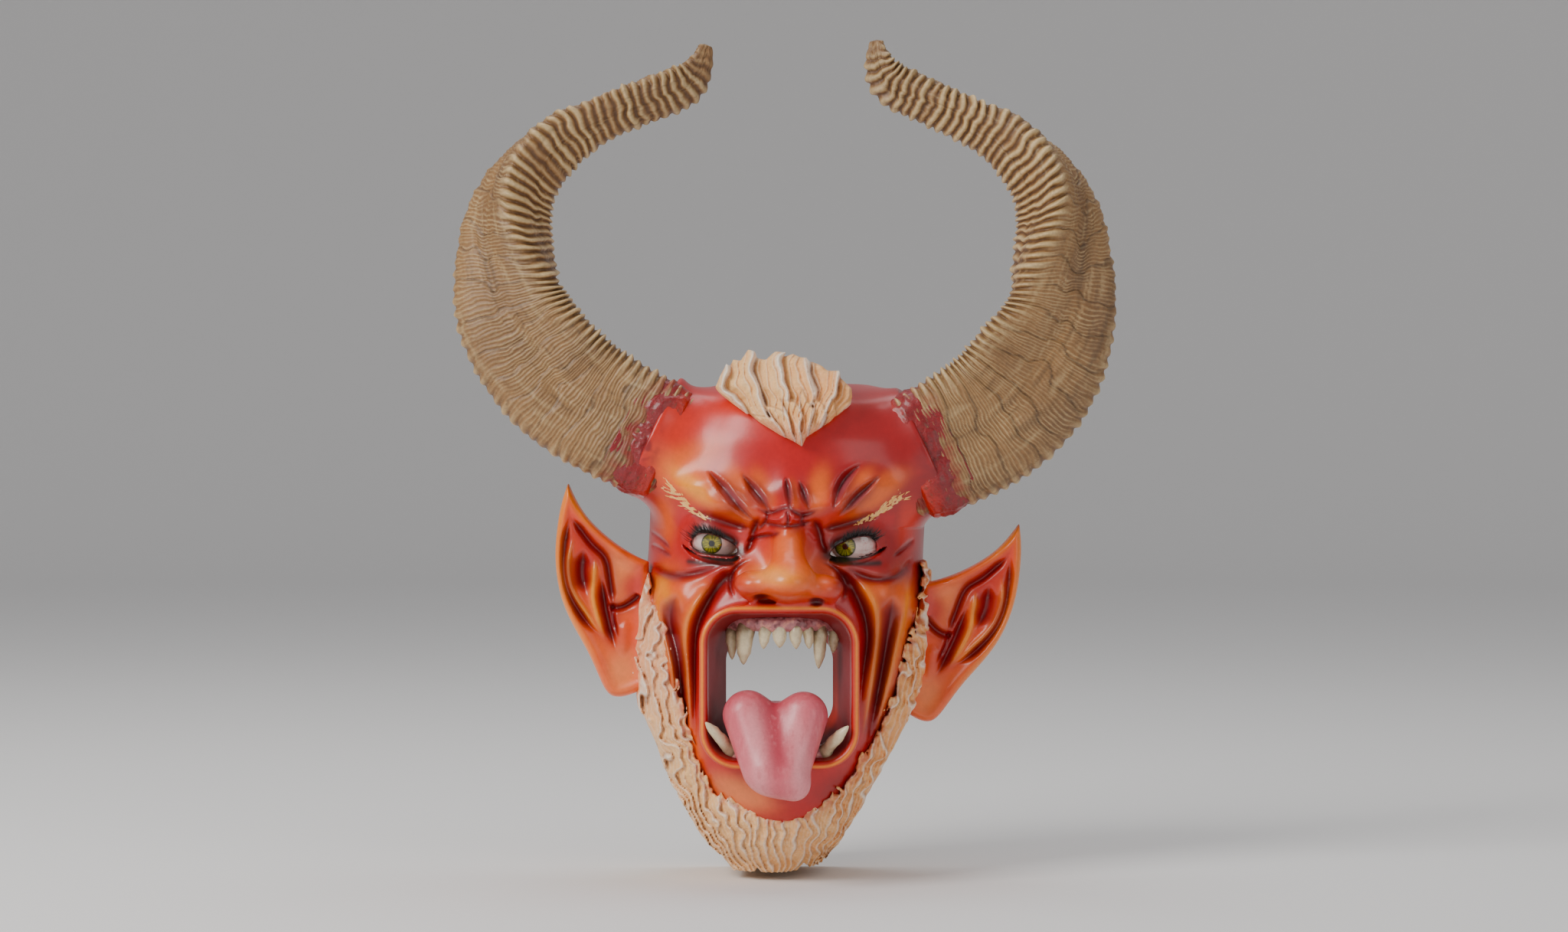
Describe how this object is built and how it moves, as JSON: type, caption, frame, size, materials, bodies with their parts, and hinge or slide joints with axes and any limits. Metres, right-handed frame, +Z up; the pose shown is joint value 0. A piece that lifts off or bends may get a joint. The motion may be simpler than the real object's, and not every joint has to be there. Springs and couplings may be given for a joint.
{
  "type": "mexican folk art mask",
  "caption": "Carved and painted horned devil mask with an open fanged mouth, hanging tongue, pointed ears, ram horns and sculpted cream hair; worn on the face or hung on a wall.",
  "frame": {"origin": "middle of the head opening on the plane of the flat back rim", "axes": "+Z up toward the horn tips; +Y out of the back toward the wearer or wall, so the face looks along -Y; +X is the viewer's right, and left in a name means the viewer's left"},
  "size_m": [0.3665, 0.122, 0.4608],
  "materials": {
    "red_painted_wood": "gloss",
    "orange_painted_ear": "gloss",
    "pale_wood": "matte",
    "ram_horn": "satin",
    "red_paste": "gloss",
    "cream_hair_paste": "satin",
    "steel_screw": "satin",
    "painted_eye": "gloss",
    "black_lash": "matte",
    "pink_gum": "gloss",
    "aged_tooth": "gloss",
    "pink_tongue": "gloss"
  },
  "bodies": {
    "root": {"face_shell": "red_painted_wood", "ear_left": "orange_painted_ear", "ear_right": "orange_painted_ear", "ear_dowels": "pale_wood", "horn_left": "ram_horn", "horn_right": "ram_horn", "horn_plug_left": "pale_wood", "horn_plug_right": "pale_wood", "horn_collar_left": "red_paste", "horn_collar_right": "red_paste", "horn_screws": "steel_screw", "hair_tuft": "cream_hair_paste", "beard": "cream_hair_paste", "eye_left": "painted_eye", "eye_right": "painted_eye", "upper_lash_left": "black_lash", "upper_lash_right": "black_lash", "upper_gum": "pink_gum", "lower_gum_left": "pink_gum", "lower_gum_right": "pink_gum", "upper_molar_left": "aged_tooth", "upper_fang_left": "aged_tooth", "upper_incisor_1": "aged_tooth", "upper_incisor_2": "aged_tooth", "upper_incisor_3": "aged_tooth", "upper_incisor_4": "aged_tooth", "upper_fang_right": "aged_tooth", "upper_molar_right": "aged_tooth", "lower_tusk_left": "aged_tooth", "lower_tusk_right": "aged_tooth", "tongue": "pink_tongue", "tongue_peg": "pale_wood"}
  },
  "joints": []
}
